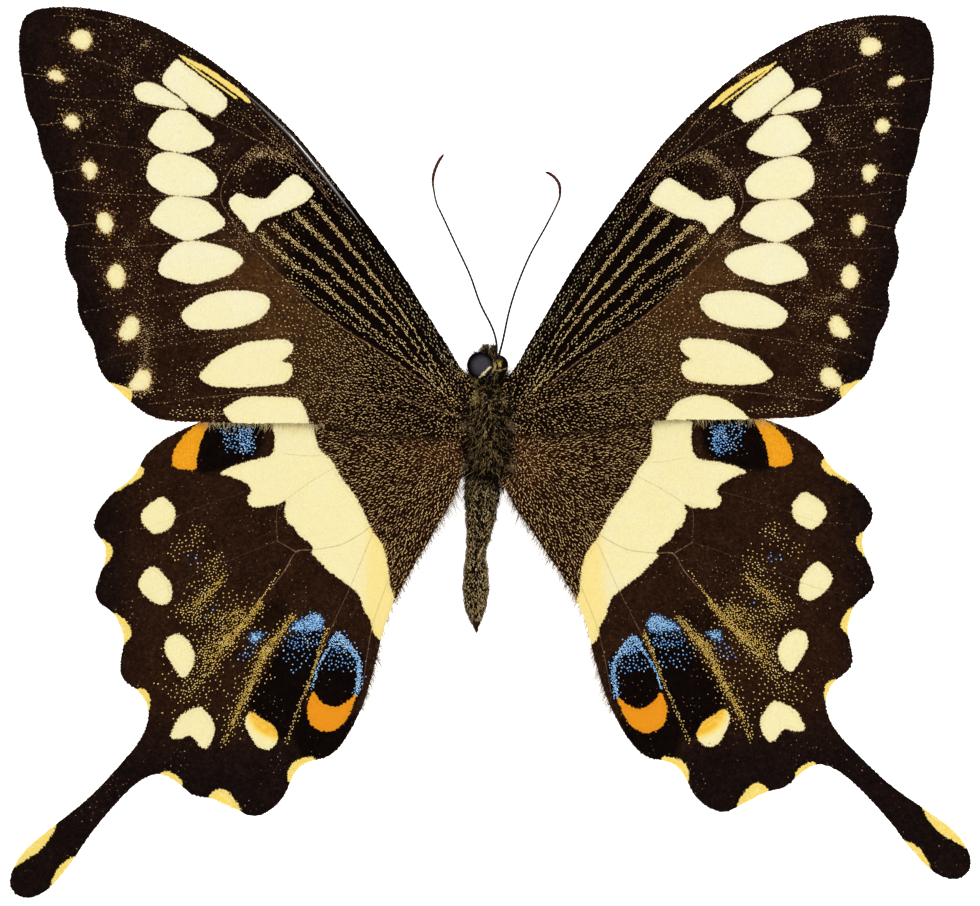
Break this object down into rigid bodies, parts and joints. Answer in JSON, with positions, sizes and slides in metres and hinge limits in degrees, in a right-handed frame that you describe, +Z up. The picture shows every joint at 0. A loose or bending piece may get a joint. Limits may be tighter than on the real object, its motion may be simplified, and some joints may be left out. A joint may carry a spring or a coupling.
{
  "type": "spread butterfly specimen",
  "caption": "Dry swallowtail butterfly with open, cream-banded dark wings, tailed hindwings, furry body and clubbed antennae, lying on its underside.",
  "frame": {"origin": "middle of the thorax's flat underside, where the specimen lies on the surface, midway between the wing roots", "axes": "+X to the insect's right, +Y towards its head, +Z up and away from the surface"},
  "size_m": [0.0963, 0.0891, 0.0079],
  "materials": {
    "wing_scales": "dusty matte scales, dark brown with cream bands and spots",
    "body_fur": "soft dark olive-brown fur",
    "eye_cuticle": "dried, dark grey, finely faceted",
    "limb_cuticle": "dark brown, slightly shiny"
  },
  "bodies": {
    "root": {"thorax": "body_fur", "abdomen": "body_fur", "head": "body_fur", "palp_left": "body_fur", "palp_right": "body_fur", "eye_left": "eye_cuticle", "eye_right": "eye_cuticle", "proboscis": "limb_cuticle", "antenna_left": "limb_cuticle", "antenna_right": "limb_cuticle", "foreleg_left": "limb_cuticle", "foreleg_right": "limb_cuticle", "midleg_left": "limb_cuticle", "midleg_right": "limb_cuticle", "hindleg_left": "limb_cuticle", "hindleg_right": "limb_cuticle", "forewing_left": "wing_scales", "forewing_right": "wing_scales", "hindwing_left": "wing_scales", "hindwing_right": "wing_scales"}
  },
  "joints": []
}
